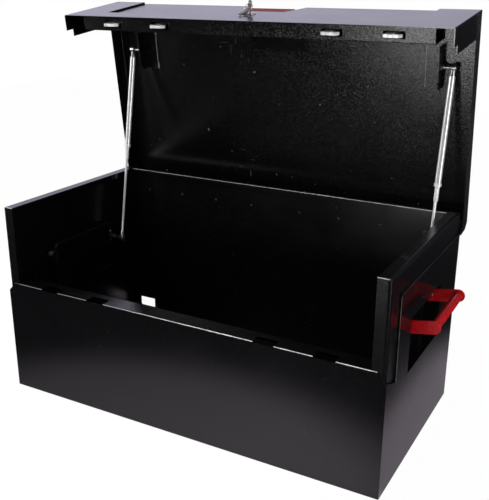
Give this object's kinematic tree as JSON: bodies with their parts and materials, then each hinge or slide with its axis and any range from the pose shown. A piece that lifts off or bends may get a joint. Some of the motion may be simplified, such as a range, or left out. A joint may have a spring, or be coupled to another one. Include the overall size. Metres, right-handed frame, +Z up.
{
  "type": "steel tool trunk",
  "caption": "Lockable jobsite trunk with a wrap-around lid on gas struts, drop-front rim, recessed drop handles and a sliding hook lock.",
  "frame": {"origin": "on the ground under the middle of the trunk's floor", "axes": "+X to the trunk's right end seen from the front, +Y to its back, +Z up; stored with the lid open"},
  "size_m": [1.3636, 0.6856, 1.1836],
  "materials": {
    "black_coat": "fine-textured satin powder coat",
    "red_coat": "smooth satin powder coat",
    "zinc_steel": "bright zinc plate",
    "bright_steel": "polished"
  },
  "bodies": {
    "trunk": {"floor_panel": "black_coat", "front_panel": "black_coat", "rear_panel": "black_coat", "cable_port_frame": "black_coat", "cable_port_rivets": "zinc_steel", "hinge_body_leaf": "black_coat", "hinge_pin": "zinc_steel", "hinge_body_bolts": "zinc_steel", "strut_bracket_bolts": "zinc_steel", "left_side_wall": "black_coat", "left_side_skin": "black_coat", "left_handle_pocket": "black_coat", "left_handle_pivots": "zinc_steel", "left_strut_bracket": "black_coat", "left_lower_ball": "zinc_steel", "right_side_wall": "black_coat", "right_side_skin": "black_coat", "right_handle_pocket": "black_coat", "right_handle_pivots": "zinc_steel", "right_strut_bracket": "black_coat", "right_lower_ball": "zinc_steel"},
    "lid": {"lid_top_panel": "black_coat", "lid_front_panel": "black_coat", "grip_pocket": "black_coat", "grip_pocket_bolts": "zinc_steel", "grip_bar": "red_coat", "hinge_lid_leaf": "black_coat", "hinge_lid_bolts": "zinc_steel", "lock_channel": "black_coat", "bar_guides": "zinc_steel", "lock_housing": "bright_steel", "left_lid_bracket": "black_coat", "right_lid_bracket": "black_coat"},
    "key_plug": {"lock_plug": "bright_steel", "lock_key": "bright_steel", "key_ring": "bright_steel", "spare_keys": "bright_steel"},
    "lock_slide": {"lock_bar": "zinc_steel", "lock_hook_1": "zinc_steel", "lock_hook_2": "zinc_steel", "lock_hook_3": "zinc_steel", "lock_hook_4": "zinc_steel"},
    "left_strut_lower": {"left_strut_lower_socket": "zinc_steel", "left_strut_rod": "bright_steel"},
    "left_strut_upper": {"left_strut_cylinder": "bright_steel", "left_strut_guide": "bright_steel", "left_strut_upper_socket": "zinc_steel", "left_strut_upper_ball": "zinc_steel"},
    "left_handle": {"left_handle_arms": "red_coat", "left_handle_grip": "red_coat"},
    "right_strut_lower": {"right_strut_lower_socket": "zinc_steel", "right_strut_rod": "bright_steel"},
    "right_strut_upper": {"right_strut_cylinder": "bright_steel", "right_strut_guide": "bright_steel", "right_strut_upper_socket": "zinc_steel", "right_strut_upper_ball": "zinc_steel"},
    "right_handle": {"right_handle_arms": "red_coat", "right_handle_grip": "red_coat"}
  },
  "joints": [
    {"name": "lid_hinge", "type": "hinge", "parent": "trunk", "child": "lid", "pos_m": [0, 0.315, 0.538], "axis": [1, 0, 0], "range_deg": [0, 82.8], "stiffness_Nm_per_rad": 62},
    {"name": "lock_bar_slide", "type": "slide", "parent": "lid", "child": "lock_slide", "axis": [1, 0, 0], "range_m": [0, 0.024]},
    {"name": "key_turn", "type": "hinge", "parent": "lid", "child": "key_plug", "pos_m": [-0.026, 0.17131, 1.14881], "axis": [0, -0.1253, 0.9921], "range_deg": [0, 90]},
    {"name": "left_strut_pivot", "type": "hinge", "parent": "trunk", "child": "left_strut_lower", "pos_m": [-0.548, 0.183, 0.368], "axis": [1, 0, 0], "range_deg": [0, 68.11]},
    {"name": "left_strut_slide", "type": "slide", "parent": "left_strut_lower", "child": "left_strut_upper", "axis": [0, -0.1756, -0.9845], "range_m": [0, 0.25288]},
    {"name": "left_handle_pivot", "type": "hinge", "parent": "trunk", "child": "left_handle", "pos_m": [-0.585, 0, 0.401], "axis": [0, -1, 0], "range_deg": [0, 100]},
    {"name": "right_strut_pivot", "type": "hinge", "parent": "trunk", "child": "right_strut_lower", "pos_m": [0.548, 0.183, 0.368], "axis": [1, 0, 0], "range_deg": [0, 68.11]},
    {"name": "right_strut_slide", "type": "slide", "parent": "right_strut_lower", "child": "right_strut_upper", "axis": [0, -0.1756, -0.9845], "range_m": [0, 0.25288]},
    {"name": "right_handle_pivot", "type": "hinge", "parent": "trunk", "child": "right_handle", "pos_m": [0.585, 0, 0.401], "axis": [0, 1, 0], "range_deg": [0, 100]}
  ],
  "couplings": [
    {"joint": "key_turn", "follows": "lock_bar_slide", "rad_per_m": 65.45},
    {"joint": "left_strut_pivot", "follows": "lid_hinge", "ratio": 0.8224},
    {"joint": "left_strut_slide", "follows": "lid_hinge", "m_per_rad": 0.17498},
    {"joint": "right_strut_pivot", "follows": "lid_hinge", "ratio": 0.8224},
    {"joint": "right_strut_slide", "follows": "lid_hinge", "m_per_rad": 0.17498}
  ]
}
